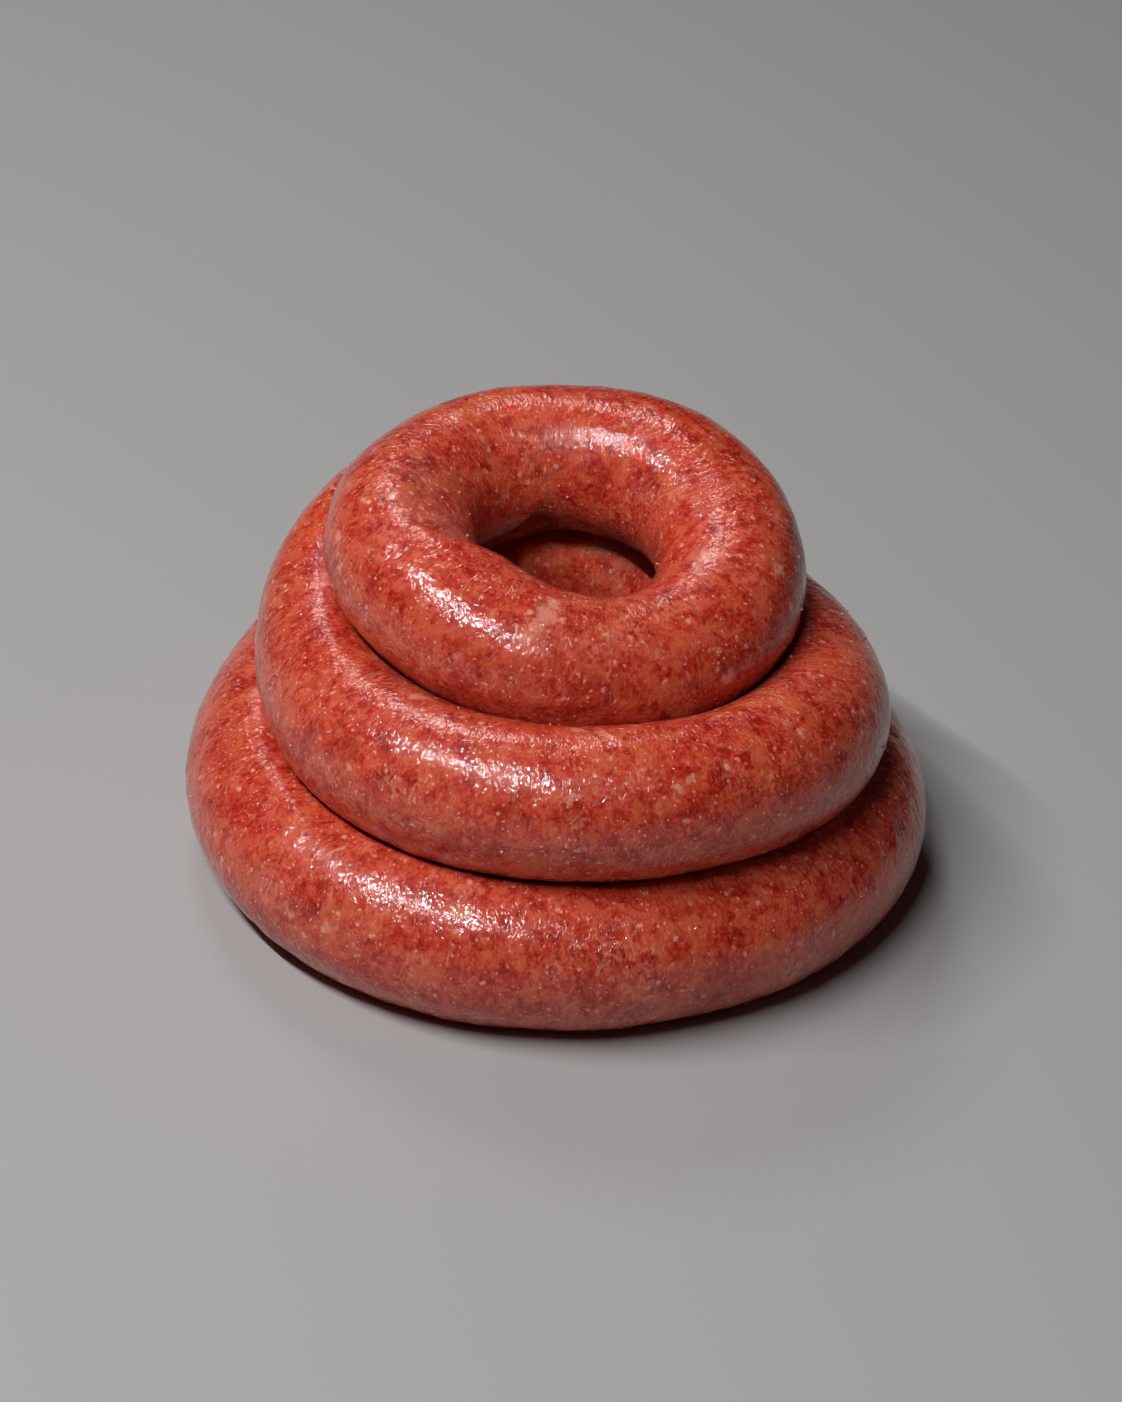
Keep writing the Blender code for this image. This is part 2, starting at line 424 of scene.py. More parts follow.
def tube_object(name, skin):
    """A tube from a flat grid of quads: a row for each station, the long edges joined, the ends closed."""
    stations, points = skin.shape[:2]
    bm = bmesh.new()
    bmesh.ops.create_grid(bm, x_segments=stations - 1, y_segments=points - 1, size=1)
    for vert in bm.verts:
        station = round((vert.co.x + 1) / 2 * (stations - 1))
        point = round((vert.co.y + 1) / 2 * (points - 1))
        vert.co = skin[station, point]
    bmesh.ops.remove_doubles(bm, verts=bm.verts, dist=1e-6)
    bmesh.ops.recalc_face_normals(bm, faces=bm.faces)
    mesh = bpy.data.meshes.new(name)
    bm.to_mesh(mesh)
    bm.free()
    made = bpy.data.objects.new(name, mesh)
    bpy.context.scene.collection.objects.link(made)
    return made


def united(piece, other):
    """The union of two closed objects, in the first one."""
    union = piece.modifiers.new("union", "BOOLEAN")
    union.operation = "UNION"
    union.solver = "EXACT"
    union.object = other
    graph = bpy.context.evaluated_depsgraph_get()
    mesh = bpy.data.meshes.new_from_object(piece.evaluated_get(graph))
    piece.modifiers.clear()
    old = piece.data
    piece.data = mesh
    bpy.data.meshes.remove(old)
    bpy.data.objects.remove(other)
    mesh.name = piece.name
    return piece


Route = namedtuple("Route", "sweep along centres radii")
BATCH = 4000
# The casing is empty up to the first of these distances from its tip, and full from the second on.
BARE_END = 0.45 * TWIST_LENGTH
FULL_START = TWIST_LENGTH + 0.0025


def rope_route(form):
    """The rope from its tied end to where it ends inside the top turn."""
    sweep, along = even_sweeps(START_SWEEP, MERGE_SWEEP, rope_centres, form.spacing)
    radii = blend_turns(sweep, lambda level: np.full(len(sweep), TURNS[level].rope_radius))
    radii = radii * swell(sweep) * end_share(along)
    inside = np.clip((sweep - SECOND_CLIMB[0]) / (MERGE_SWEEP - SECOND_CLIMB[0]), 0, 1)
    radii *= 1 - (1 - MERGE_SHARE) * inside**2
    radii *= np.sqrt(1 - (1 - np.clip((along[-1] - along) / BLUNT_LENGTH, 0, 1)) ** 2)
    return Route(sweep, along, rope_centres(sweep), radii)


def top_route(form):
    """The closed top turn."""
    sweep, along = even_sweeps(4 * pi, 6 * pi, top_centres, form.spacing)
    radii = TURNS[2].rope_radius * swell(sweep)
    return Route(sweep, along, top_centres(sweep), radii)


def apart_from(points, route):
    """How far each point is from the skin of a route, under 0 inside it, and the route's nearest station."""
    nearest = np.empty(len(points), int)
    apart = np.empty(len(points))
    for start in range(0, len(points), BATCH):
        batch = slice(start, start + BATCH)
        gap = np.linalg.norm(points[batch, None] - route.centres[None], axis=2) - route.radii[None]
        found = np.abs(gap).argmin(axis=1)
        nearest[batch] = found
        apart[batch] = gap[np.arange(len(found)), found]
    return apart, nearest


def points_of(mesh):
    points = np.empty(len(mesh.vertices) * 3, np.float32)
    mesh.vertices.foreach_get("co", points)
    return points.reshape(-1, 3).astype(float)


def soften_join(piece, rope, top):
    """Smooths the crease where the rope runs into the top turn, and presses the turns together."""
    points = points_of(piece.data)
    to_rope, _ = apart_from(points, rope)
    to_top, _ = apart_from(points, top)
    close = (np.abs(to_rope) < JOIN_REACH) & (np.abs(to_top) < JOIN_REACH)
    bm = bmesh.new()
    bm.from_mesh(piece.data)
    bm.verts.ensure_lookup_table()
    soft = [bm.verts[index] for index in np.flatnonzero(close).tolist()]
    for _ in range(JOIN_PASSES):
        bmesh.ops.smooth_vert(
            bm, verts=soft, factor=0.5, use_axis_x=True, use_axis_y=True, use_axis_z=True,
        )
    bm.normal_update()
    for vertex in bm.verts:
        vertex.co += PRESS * vertex.normal
        vertex.co.z = max(vertex.co.z, 0)
    bm.to_mesh(piece.data)
    bm.free()


def mark_rope(piece, rope, top):
    """Stores on each point where it is on the rope, and how bare of meat the casing is there.

    The place is the plan of the rope's centre and the point's distance to the inner side of it. Its height
    over the centre is stored apart. The four together have no seam anywhere.
    """
    mesh = piece.data
    points = points_of(mesh)
    whole = Route(
        np.concatenate([rope.sweep, top.sweep]),
        np.concatenate([rope.along, rope.along[-1] + top.along]),
        np.vstack([rope.centres, top.centres]),
        np.concatenate([rope.radii, top.radii]),
    )
    _, rope_aside, rope_up = frames(rope.centres, closed=False)
    _, top_aside, top_up = frames(top.centres, closed=True)
    aside = np.vstack([rope_aside, top_aside])
    upward = np.vstack([rope_up, top_up])
    _, nearest = apart_from(points, whole)
    offset = points - whole.centres[nearest]
    inwards = (offset * aside[nearest]).sum(axis=1)
    lift = (offset * upward[nearest]).sum(axis=1)
    place = np.column_stack([whole.centres[nearest, :2], inwards])
    stored = mesh.attributes.new("rope_place", "FLOAT_VECTOR", "POINT")
    stored.data.foreach_set("vector", place.astype(np.float32).ravel())
    bare = 1 - smooth_rise(whole.along[nearest], BARE_END, FULL_START)
    for name, values in (("rope_lift", lift), ("bare", bare)):
        stored = mesh.attributes.new(name, "FLOAT", "POINT")
        stored.data.foreach_set("value", values.astype(np.float32))


# Materials.

# The larger pieces of fat and of dark lean that show through the casing, and a dark streak of painted shade
# down the inner wall at the back of the top turn: the place and radius of each.
FAT_MARKS = (
    (-0.0036, -0.0246, 0.0768, 0.0020),
    (-0.0050, -0.0275, 0.0758, 0.0027),
    (-0.0068, -0.0303, 0.0746, 0.0025),
    (-0.0088, -0.0327, 0.0731, 0.0016),
    (0.0412, -0.0012, 0.0758, 0.0018),
    (0.0324, -0.0241, 0.0631, 0.0016),
    (0.0474, -0.0350, 0.0587, 0.0014),
    (0.0237, -0.0556, 0.0558, 0.0015),
    (-0.0288, -0.0347, 0.0589, 0.0020),
    (-0.0247, -0.0438, 0.0592, 0.0015),
    (0.0026, -0.0439, 0.0602, 0.0016),
    (0.0086, -0.0461, 0.0610, 0.0015),
    (-0.0060, -0.0401, 0.0585, 0.0017),
    (0.0031, -0.0601, 0.0549, 0.0014),
    (-0.0440, 0.0010, 0.0825, 0.0012),
    (-0.0488, -0.0035, 0.0757, 0.0013),
    (-0.0477, -0.0092, 0.0720, 0.0013),
)
LEAN_AND_SHADE_MARKS = (
    (-0.0504, -0.0358, 0.0476, 0.0034),
    (-0.0412, -0.0440, 0.0514, 0.0030),
    # These three make a dark vertical streak of painted shade down the inner wall at the back of the top
    # turn, standing in for the shade of a faint crease there.
    (-0.0098, 0.0287, 0.0763, 0.0016),
    (-0.0097, 0.0296, 0.0730, 0.0017),
    (-0.0096, 0.0305, 0.0700, 0.0014),
)
# A mark starts and is full at these shares of its radius. Its points stray by up to half of the last value.
MARK_EDGE = 1.25
MARK_CORE = 0.35
MARK_STRAY = 0.006
CRINKLE_DEPTH = 0.00032


def add(tree, kind, values=None, **settings):
    """A new node with these settings and input values."""
    made = tree.nodes.new(kind)
    for name, value in settings.items():
        setattr(made, name, value)
    for name, value in (values or {}).items():
        made.inputs[name].default_value = value
    return made


def join(tree, *pairs):
    for source, target in pairs:
        tree.links.new(source, target)


def new_group(name, inputs, outputs):
    """A shader node group with these named sockets, and its tree's two ends."""
    tree = bpy.data.node_groups.new(name, "ShaderNodeTree")
    for label, kind, value in inputs:
        socket = tree.interface.new_socket(label, in_out="INPUT", socket_type=kind)
        if value is not None:
            socket.default_value = value
    for label, kind in outputs:
        tree.interface.new_socket(label, in_out="OUTPUT", socket_type=kind)
    return tree, tree.nodes.new("NodeGroupInput"), tree.nodes.new("NodeGroupOutput")


def flecks_group():
    """Scattered flecks of uneven size: each cell holds one, if its own random share is under Share."""
    tree, given, result = new_group(
        "Flecks",
        [
            ("Vector", "NodeSocketVector", None),
            ("Scale", "NodeSocketFloat", 400.0),
            ("Share", "NodeSocketFloat", 0.4),
            ("Size", "NodeSocketFloat", 0.4),
            ("Ragged", "NodeSocketFloat", 0.3),
            ("Softness", "NodeSocketFloat", 0.4),
        ],
        [("Mask", "NodeSocketFloat")],
    )
    ragged = add(tree, "ShaderNodeTexNoise", {"Detail": 2.0, "Roughness": 0.6})
    double = add(tree, "ShaderNodeMath", {1: 1.7}, operation="MULTIPLY")
    centred = add(tree, "ShaderNodeVectorMath", {1: (0.5, 0.5, 0.5)}, operation="SUBTRACT")
    sized = add(tree, "ShaderNodeVectorMath", operation="SCALE")
    reach = add(tree, "ShaderNodeMath", operation="DIVIDE")
    moved = add(tree, "ShaderNodeVectorMath", operation="ADD")
    cells = add(tree, "ShaderNodeTexVoronoi", {"Randomness": 1.0})
    parts = add(tree, "ShaderNodeSeparateColor")
    chosen = add(tree, "ShaderNodeMath", operation="LESS_THAN")
    half = add(tree, "ShaderNodeMath", {1: 0.7, 2: 0.3}, operation="MULTIPLY_ADD")
    size = add(tree, "ShaderNodeMath", operation="MULTIPLY")
    soft = add(tree, "ShaderNodeMath", {0: 1.0}, operation="SUBTRACT")
    inner = add(tree, "ShaderNodeMath", operation="MULTIPLY")
    edge = add(tree, "ShaderNodeMapRange", {"To Min": 1.0, "To Max": 0.0}, interpolation_type="SMOOTHSTEP")
    mask = add(tree, "ShaderNodeMath", operation="MULTIPLY")
    join(
        tree,
        (given.outputs["Vector"], ragged.inputs["Vector"]),
        (given.outputs["Scale"], double.inputs[0]),
        (double.outputs[0], ragged.inputs["Scale"]),
        (ragged.outputs["Color"], centred.inputs[0]),
        (centred.outputs[0], sized.inputs[0]),
        (given.outputs["Ragged"], reach.inputs[0]),
        (given.outputs["Scale"], reach.inputs[1]),
        (reach.outputs[0], sized.inputs["Scale"]),
        (given.outputs["Vector"], moved.inputs[0]),
        (sized.outputs[0], moved.inputs[1]),
        (moved.outputs[0], cells.inputs["Vector"]),
        (given.outputs["Scale"], cells.inputs["Scale"]),
        (cells.outputs["Color"], parts.inputs[0]),
        (parts.outputs[0], chosen.inputs[0]),
        (given.outputs["Share"], chosen.inputs[1]),
        (parts.outputs[1], half.inputs[0]),
        (half.outputs[0], size.inputs[0]),
        (given.outputs["Size"], size.inputs[1]),
        (given.outputs["Softness"], soft.inputs[1]),
        (size.outputs[0], inner.inputs[0]),
        (soft.outputs[0], inner.inputs[1]),
        (cells.outputs["Distance"], edge.inputs["Value"]),
        (inner.outputs[0], edge.inputs["From Min"]),
        (size.outputs[0], edge.inputs["From Max"]),
        (edge.outputs[0], mask.inputs[0]),
        (chosen.outputs[0], mask.inputs[1]),
        (mask.outputs[0], result.inputs["Mask"]),
    )
    return tree


def threads_group():
    """Thin curved threads, in patches."""
    tree, given, result = new_group(
        "Threads",
        [
            ("Vector", "NodeSocketVector", None),
            ("Scale", "NodeSocketFloat", 160.0),
            ("Width", "NodeSocketFloat", 0.012),
            ("Share", "NodeSocketFloat", 0.5),
        ],
        [("Mask", "NodeSocketFloat")],
    )
    waves = add(tree, "ShaderNodeTexNoise", {"Detail": 1.2, "Roughness": 0.5, "Distortion": 0.6})
    level = add(tree, "ShaderNodeMath", {1: 0.5}, operation="SUBTRACT")
    away = add(tree, "ShaderNodeMath", operation="ABSOLUTE")
    line = add(tree, "ShaderNodeMapRange", {"From Min": 0.0, "To Min": 1.0, "To Max": 0.0})
    half = add(tree, "ShaderNodeMath", {1: 0.6}, operation="MULTIPLY")
    patch = add(tree, "ShaderNodeTexNoise", {"Detail": 2.0})
    where = add(tree, "ShaderNodeMapRange", {"To Min": 0.0, "To Max": 1.0}, interpolation_type="SMOOTHSTEP")
    top = add(tree, "ShaderNodeMath", {1: 0.1}, operation="ADD")
    flip = add(tree, "ShaderNodeMath", {0: 1.0}, operation="SUBTRACT")
    mask = add(tree, "ShaderNodeMath", operation="MULTIPLY")
    join(
        tree,
        (given.outputs["Vector"], waves.inputs["Vector"]),
        (given.outputs["Scale"], waves.inputs["Scale"]),
        (waves.outputs[0], level.inputs[0]),
        (level.outputs[0], away.inputs[0]),
        (away.outputs[0], line.inputs["Value"]),
        (given.outputs["Width"], line.inputs["From Max"]),
        (given.outputs["Vector"], patch.inputs["Vector"]),
        (given.outputs["Scale"], half.inputs[0]),
        (half.outputs[0], patch.inputs["Scale"]),
        (patch.outputs[0], where.inputs["Value"]),
        (given.outputs["Share"], flip.inputs[1]),
        (flip.outputs[0], where.inputs["From Min"]),
        (flip.outputs[0], top.inputs[0]),
        (top.outputs[0], where.inputs["From Max"]),
        (line.outputs[0], mask.inputs[0]),
        (where.outputs[0], mask.inputs[1]),
        (mask.outputs[0], result.inputs["Mask"]),
    )
    return tree


def place_group(tree, group, vector, **values):
    made = add(tree, "ShaderNodeGroup", node_tree=group)
    for name, value in values.items():
        made.inputs[name].default_value = value
    tree.links.new(vector, made.inputs["Vector"])
    return made.outputs["Mask"]


def tint(tree, colour, mask, over, strength=1.0):
    """The colour with another laid over it where the mask is."""
    mix = add(tree, "ShaderNodeMix", data_type="RGBA")
    factor = mask
    if strength != 1.0:
        scaled = add(tree, "ShaderNodeMath", {1: strength}, operation="MULTIPLY")
        tree.links.new(mask, scaled.inputs[0])
        factor = scaled.outputs[0]
    tree.links.new(factor, mix.inputs["Factor"])
    tree.links.new(colour, mix.inputs["A"])
    mix.inputs["B"].default_value = (*over, 1)
    return mix.outputs["Result"]


def spread(tree, value, low, high):
    """0 where the value is under low, 1 where it is over high, and smooth between."""
    ranged = add(
        tree, "ShaderNodeMapRange", {"From Min": low, "From Max": high}, interpolation_type="SMOOTHSTEP",
    )
    tree.links.new(value, ranged.inputs["Value"])
    return ranged.outputs[0]


def texture(tree, vector, scale, detail=3.0, roughness=0.55, distortion=0.0):
    made = add(
        tree, "ShaderNodeTexNoise",
        {"Scale": scale, "Detail": detail, "Roughness": roughness, "Distortion": distortion},
    )
    tree.links.new(vector, made.inputs["Vector"])
    return made.outputs[0]


def rope_texture(tree, rope_place, rope_lift, along, around, distortion):
    """Noise in the rope's own space, with one scale along the rope and another round it."""
    place = add(tree, "ShaderNodeMapping")
    place.inputs["Scale"].default_value = (along, along, around)
    lift = add(tree, "ShaderNodeMath", {1: around}, operation="MULTIPLY")
    made = add(
        tree, "ShaderNodeTexNoise",
        {"Scale": 1.0, "Detail": 2.0, "Roughness": 0.6, "Distortion": distortion}, noise_dimensions="4D",
    )
    join(
        tree,
        (rope_place, place.inputs["Vector"]),
        (rope_lift, lift.inputs[0]),
        (place.outputs[0], made.inputs["Vector"]),
        (lift.outputs[0], made.inputs["W"]),
    )
    return made.outputs[0]


def marks(tree, vector, balls):
    """1 inside any of these soft balls, each a place and a radius, and 0 outside them."""
    so_far = None
    for *middle, radius in balls:
        away = add(tree, "ShaderNodeVectorMath", {1: tuple(middle)}, operation="DISTANCE")
        tree.links.new(vector, away.inputs[0])
        inside = spread(tree, away.outputs["Value"], MARK_EDGE * radius, MARK_CORE * radius)
        if so_far is not None:
            either = add(tree, "ShaderNodeMath", operation="MAXIMUM")
            join(tree, (so_far, either.inputs[0]), (inside, either.inputs[1]))
            inside = either.outputs[0]
        so_far = inside
    return so_far


def total(tree, *terms):
    """The sum of these values, each times its weight."""
    so_far = None
    for value, weight in terms:
        step = add(tree, "ShaderNodeMath", {1: weight, 2: 0.0}, operation="MULTIPLY_ADD")
        tree.links.new(value, step.inputs[0])
        if so_far is not None:
            tree.links.new(so_far, step.inputs[2])
        so_far = step.outputs[0]
    return so_far


def mince_colour(tree, place, grains, look):
    """Lean and fat, from wide patches down to single grains."""
    patches = texture(tree, place, scale=95, detail=2, roughness=0.5, distortion=0.3)
    mottle = texture(tree, place, scale=300, detail=4, roughness=0.62, distortion=0.5)
    tone = total(tree, (mottle, 0.50), (grains, 0.32), (patches, 0.18))
    ramp = add(tree, "ShaderNodeValToRGB")
    ramp.color_ramp.interpolation = "EASE"
    stops = ramp.color_ramp.elements
    stops[0].position = 0.395
    stops[0].color = (*look.deep, 1)
    stops[1].position = 0.48
    stops[1].color = (*look.lean, 1)
    rosy = stops.new(0.555)
    rosy.color = (*look.rosy, 1)
    tree.links.new(tone, ramp.inputs[0])
    fat = texture(tree, place, scale=190, detail=2, roughness=0.5, distortion=0.6)
    fatty = spread(tree, fat, low=0.52, high=0.66)
    colour = tint(tree, ramp.outputs[0], fatty, look.tallow, strength=0.50)
    blood = texture(tree, place, scale=140, detail=3, roughness=0.6, distortion=0.8)
    return tint(tree, colour, spread(tree, blood, low=0.56, high=0.70), look.deep, strength=0.38)


def flecked(tree, colour, place, pale, dust, flecks, threads, look):
    """Blobs and chunks of fat, dark specks, pale flecks, threads of gristle and dots, laid over the mince."""
    blobs = place_group(tree, flecks, place, Scale=170.0, Share=0.34, Size=0.36, Ragged=0.8, Softness=0.95)
    specks = place_group(tree, flecks, place, Scale=460.0, Share=0.30, Size=0.38, Ragged=0.8, Softness=0.6)
    chunks = place_group(tree, flecks, place, Scale=115.0, Share=0.09, Size=0.24, Ragged=0.8, Softness=0.6)
    gristle = place_group(tree, threads, place, Scale=110.0, Width=0.007, Share=0.45)
    dots = place_group(tree, flecks, place, Scale=230.0, Share=0.06, Size=0.09, Ragged=0.2, Softness=0.4)
    colour = tint(tree, colour, blobs, look.tallow, strength=0.95)
    colour = tint(tree, colour, specks, look.deep, strength=0.80)
    colour = tint(tree, colour, chunks, look.fleck, strength=0.60)
    colour = tint(tree, colour, pale, look.fleck, strength=0.85)
    colour = tint(tree, colour, dust, look.fleck, strength=0.85)
    colour = tint(tree, colour, gristle, look.fleck, strength=0.40)
    return tint(tree, colour, dots, look.clot, strength=0.80)


def marked(tree, colour, place, look):
    """The larger pieces of fat and of dark lean, and a streak of painted shade, with ragged edges."""
    jitter = add(tree, "ShaderNodeTexNoise", {"Scale": 520.0, "Detail": 3.0, "Roughness": 0.6})
    level = add(tree, "ShaderNodeVectorMath", {1: (0.5, 0.5, 0.5)}, operation="SUBTRACT")
    loose = add(tree, "ShaderNodeVectorMath", {1: (MARK_STRAY,) * 3}, operation="MULTIPLY_ADD")
    join(
        tree,
        (place, jitter.inputs["Vector"]),
        (jitter.outputs["Color"], level.inputs[0]),
        (level.outputs[0], loose.inputs[0]),
        (place, loose.inputs[2]),
    )
    colour = tint(tree, colour, marks(tree, loose.outputs[0], FAT_MARKS), look.fleck, strength=0.66)
    # Besides dark lean, these marks hold a streak of painted shade on the inner wall at the back of the top
    # turn.
    return tint(tree, colour, marks(tree, loose.outputs[0], LEAN_AND_SHADE_MARKS), look.deep, strength=0.60)


def cased(tree, colour, place, rope_place, rope_lift, streaks, bare, look):
    """The casing over the meat: veils in patches, fine streaks round the rope, and its bare tied end."""
    veil = texture(tree, place, scale=85, detail=3, roughness=0.6, distortion=0.4)
    wisps = rope_texture(tree, rope_place, rope_lift, along=700, around=330, distortion=1.5)
    wispy = add(tree, "ShaderNodeMath", operation="MULTIPLY")
    join(
        tree,
        (spread(tree, veil, low=0.50, high=0.68), wispy.inputs[0]),
        (spread(tree, wisps, low=0.46, high=0.64), wispy.inputs[1]),
    )
    colour = tint(tree, colour, wispy.outputs[0], look.fleck, strength=0.42)
    colour = tint(tree, colour, spread(tree, streaks, low=0.56, high=0.72), look.fleck, strength=0.32)
    return tint(tree, colour, bare, look.casing, strength=0.9)


def meat_material(look, flecks, threads):
    """The mince under a wet, clear casing whose crinkles break up the highlights."""
    material = bpy.data.materials.new("wet sausage casing")
    material.use_nodes = True
    tree = material.node_tree
    shader = tree.nodes["Principled BSDF"]
    place = add(tree, "ShaderNodeTexCoord").outputs["Object"]
    rope_place = add(tree, "ShaderNodeAttribute", attribute_name="rope_place").outputs["Vector"]
    rope_lift = add(tree, "ShaderNodeAttribute", attribute_name="rope_lift").outputs["Fac"]
    bare = add(tree, "ShaderNodeAttribute", attribute_name="bare").outputs["Fac"]

    grains = texture(tree, place, scale=1150, detail=2, roughness=0.6)
    pale = place_group(tree, flecks, place, Scale=430.0, Share=0.40, Size=0.40, Ragged=0.8, Softness=0.7)
    dust = place_group(tree, flecks, place, Scale=900.0, Share=0.30, Size=0.40, Ragged=0.5, Softness=0.6)
    streaks = rope_texture(tree, rope_place, rope_lift, along=1500, around=480, distortion=0.3)
    crinkle = rope_texture(tree, rope_place, rope_lift, along=640, around=330, distortion=1.5)
    ripple = texture(tree, place, scale=420, detail=1, roughness=0.5, distortion=0.8)
    damp = texture(tree, place, scale=60, detail=3, roughness=0.55, distortion=0.2)

    colour = mince_colour(tree, place, grains, look)
    colour = flecked(tree, colour, place, pale, dust, flecks, threads, look)
    colour = marked(tree, colour, place, look)
    colour = cased(tree, colour, place, rope_place, rope_lift, streaks, bare, look)
    height = total(
        tree, (crinkle, 1.00), (ripple, 0.60), (grains, 0.12), (pale, 0.10), (dust, 0.05), (streaks, 0.07),
    )
    bump = add(tree, "ShaderNodeBump", {"Strength": 1.0, "Distance": CRINKLE_DEPTH})
    wet = spread(tree, damp, low=0.38, high=0.60)
    roughness = add(tree, "ShaderNodeMapRange", {"To Min": 0.11, "To Max": 0.045})
    haze = add(tree, "ShaderNodeMapRange", {"To Min": 0.13, "To Max": 0.22})
    join(
        tree,
        (height, bump.inputs["Height"]),
        (bump.outputs[0], shader.inputs["Normal"]),
        (colour, shader.inputs["Base Color"]),
        (wet, roughness.inputs["Value"]),
        (roughness.outputs[0], shader.inputs["Roughness"]),
        (wet, haze.inputs["Value"]),
        (haze.outputs[0], shader.inputs["Coat Weight"]),
    )
    shader.inputs["Metallic"].default_value = 0
    shader.inputs["IOR"].default_value = 1.55
    shader.inputs["Subsurface Weight"].default_value = 0.18
    shader.inputs["Subsurface Radius"].default_value = (1.0, 0.25, 0.15)
    shader.inputs["Subsurface Scale"].default_value = 0.0010
    shader.inputs["Coat Roughness"].default_value = 0.45
    shader.inputs["Coat IOR"].default_value = 1.80
    return material


def crumb_material(look):
    material = bpy.data.materials.new("crumbs of fat and meat")
    material.use_nodes = True
    tree = material.node_tree
    shader = tree.nodes["Principled BSDF"]
    place = add(tree, "ShaderNodeTexCoord").outputs["Object"]
    mottle = texture(tree, place, scale=900, detail=2)
    shade = add(tree, "ShaderNodeAttribute", attribute_name="shade").outputs["Fac"]
    base = add(tree, "ShaderNodeMix", data_type="RGBA")
    base.inputs["A"].default_value = (*look.lean, 1)
    base.inputs["B"].default_value = (*look.fleck, 1)
    tree.links.new(shade, base.inputs["Factor"])
    rosy = spread(tree, mottle, low=0.5, high=0.7)
    colour = tint(tree, base.outputs["Result"], rosy, look.rosy, strength=0.5)
    tree.links.new(colour, shader.inputs["Base Color"])
    shader.inputs["Roughness"].default_value = 0.3
    shader.inputs["Subsurface Weight"].default_value = 0.2
    shader.inputs["Subsurface Scale"].default_value = 0.001
    shader.inputs["Coat Weight"].default_value = 0.6
    return material


def floor_material(stage):
    material = bpy.data.materials.new("plain pale floor")
    material.use_nodes = True
    shader = material.node_tree.nodes["Principled BSDF"]
    shader.inputs["Base Color"].default_value = (*stage.floor, 1)
    shader.inputs["Roughness"].default_value = 0.75
    return material


# Operators.


class SAUSAGE_OT_rope(Operator):
    """Sweep the rope's skin along its route, with the relief of the mince and the casing"""

    bl_idname = "sausage.rope"
    bl_label = "Sausage rope"

    def execute(self, context):
        form = context.scene.sausage_form
        rope, top = rope_route(form), top_route(form)
        sides = round(2 * pi * TURNS[0].rope_radius / form.spacing)
        tightness = BOTTOM_TIGHTNESS + (1 - BOTTOM_TIGHTNESS) * climbed(rope.sweep, SECOND_CLIMB)
        skin = skin_of(form, *rope, sides, closed=False, tightness=tightness[:, None])
        top_skin = skin_of(form, *top, sides, closed=True, tightness=1.0)
        apart = rope.sweep < FUSE_SWEEP
        rope_along = frames(rope.centres, closed=False)[0]
        top_along = frames(top.centres, closed=True)[0]
        press_flat(skin, rope.centres, rope_along, rope.sweep, rope.centres, rope.sweep)
        press_flat(top_skin, top.centres, top_along, top.sweep, rope.centres[apart], rope.sweep[apart])
        lower = skin[apart]
        press_flat(lower, rope.centres[apart], rope_along[apart], rope.sweep[apart], top.centres, top.sweep)
        skin[apart] = lower
        skin[:, :, 2] = np.maximum(skin[:, :, 2], 0)
        piece = united(tube_object("sausage_skin", skin), tube_object("top_turn", top_skin))
        soften_join(piece, rope, top)
        mark_rope(piece, rope, top)
        piece.data.shade_smooth()
        piece.data.materials.clear()
        casing = meat_material(context.scene.sausage_look, flecks_group(), threads_group())
        piece.data.materials.append(casing)
        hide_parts("sausage_rope")
        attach(piece, "root")
        return {"FINISHED"}


CRUMB_SEED = 7
CRUMB_RADII = (0.00018, 0.00042)
CRUMB_STRETCH = (0.7, 1.3)
CRUMB_LIFT = 0.25
FAT_CRUMBS = 0.7
# No crumb lies where the skin faces down more than this, and this many places are drawn for each crumb.
LOWEST_NORMAL = -0.2
PLACES_DRAWN = 4


class SAUSAGE_OT_crumbs(Operator):
    """Scatter tiny crumbs of fat and meat on the casing"""

    bl_idname = "sausage.crumbs"
    bl_label = "Crumbs"

    def execute(self, context):
        form = context.scene.sausage_form
        skin = bpy.data.objects["sausage_skin"].data
        draw = np.random.default_rng(CRUMB_SEED)
        bm = bmesh.new()
        shade = bm.verts.layers.float.new("shade")
        chosen = draw.integers(0, len(skin.vertices), PLACES_DRAWN * form.crumbs)
        placed = 0
        for index in chosen.tolist():
            vert = skin.vertices[index]
            if placed == form.crumbs:
                break
            if vert.normal.z < LOWEST_NORMAL:
                continue
            size = draw.uniform(*CRUMB_RADII)
            turn = Quaternion(draw.normal(size=3).tolist(), draw.uniform(0, pi))
            stretch = Matrix.Diagonal((*draw.uniform(*CRUMB_STRETCH, 3).tolist(), 1))
            place = Matrix.Translation(vert.co + CRUMB_LIFT * size * vert.normal)
            made = bmesh.ops.create_icosphere(
                bm, subdivisions=1, radius=size, matrix=place @ turn.to_matrix().to_4x4() @ stretch,
            )["verts"]
            value = float(draw.random() < FAT_CRUMBS)
            for point in made:
                point[shade] = value
            placed += 1
        mesh = bpy.data.meshes.new("crumbs")
        bm.to_mesh(mesh)
        bm.free()
        mesh.shade_smooth()
        piece = bpy.data.objects.new("crumbs", mesh)
        context.scene.collection.objects.link(piece)
        mesh.materials.append(crumb_material(context.scene.sausage_look))
        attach(piece, "root")
        return {"FINISHED"}


class SAUSAGE_OT_stage(Operator):
    """Lay a pale floor under the coil, and set the lights and the camera"""

    bl_idname = "sausage.stage"
    bl_label = "Stage"

    def execute(self, context):
        stage = context.scene.sausage_stage
        lay_floor(stage)
        hang_lights(stage)
        set_camera(stage)
        context.scene.view_settings.view_transform = "Standard"
        return {"FINISHED"}


# The stage.

FLOOR_HALF = 3.0
